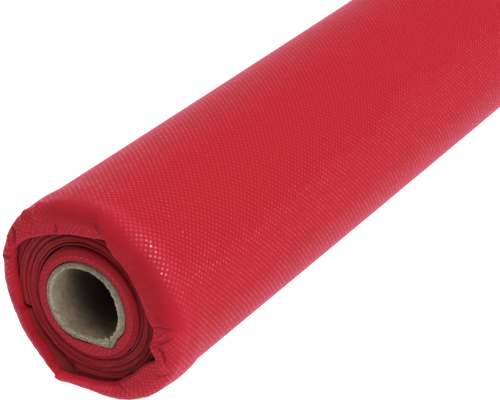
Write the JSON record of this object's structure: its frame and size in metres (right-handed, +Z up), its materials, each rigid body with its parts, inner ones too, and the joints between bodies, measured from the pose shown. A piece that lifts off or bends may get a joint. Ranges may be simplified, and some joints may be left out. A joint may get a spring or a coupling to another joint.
{
  "type": "roll of garden fleece",
  "caption": "Roll of red embossed garden fleece wound tightly on a cardboard core, lying on its side, with the outer turns bent in over one end.",
  "frame": {"origin": "middle of the flat strip that the roll rests on, under the middle of its length", "axes": "+Y along the core, from the opened near end to the far end; +Z up; +X to the right seen from the near end"},
  "size_m": [0.1041, 1, 0.1029],
  "materials": {
    "fleece": "red spun-bonded polypropylene, embossed with a square lattice of small glossy dots set on its corner",
    "board": "grey-brown spiral-wound board with a rough cut rim and a matt bore"
  },
  "bodies": {
    "root": {"fleece_roll": "fleece", "core_tube": "board"}
  },
  "joints": []
}
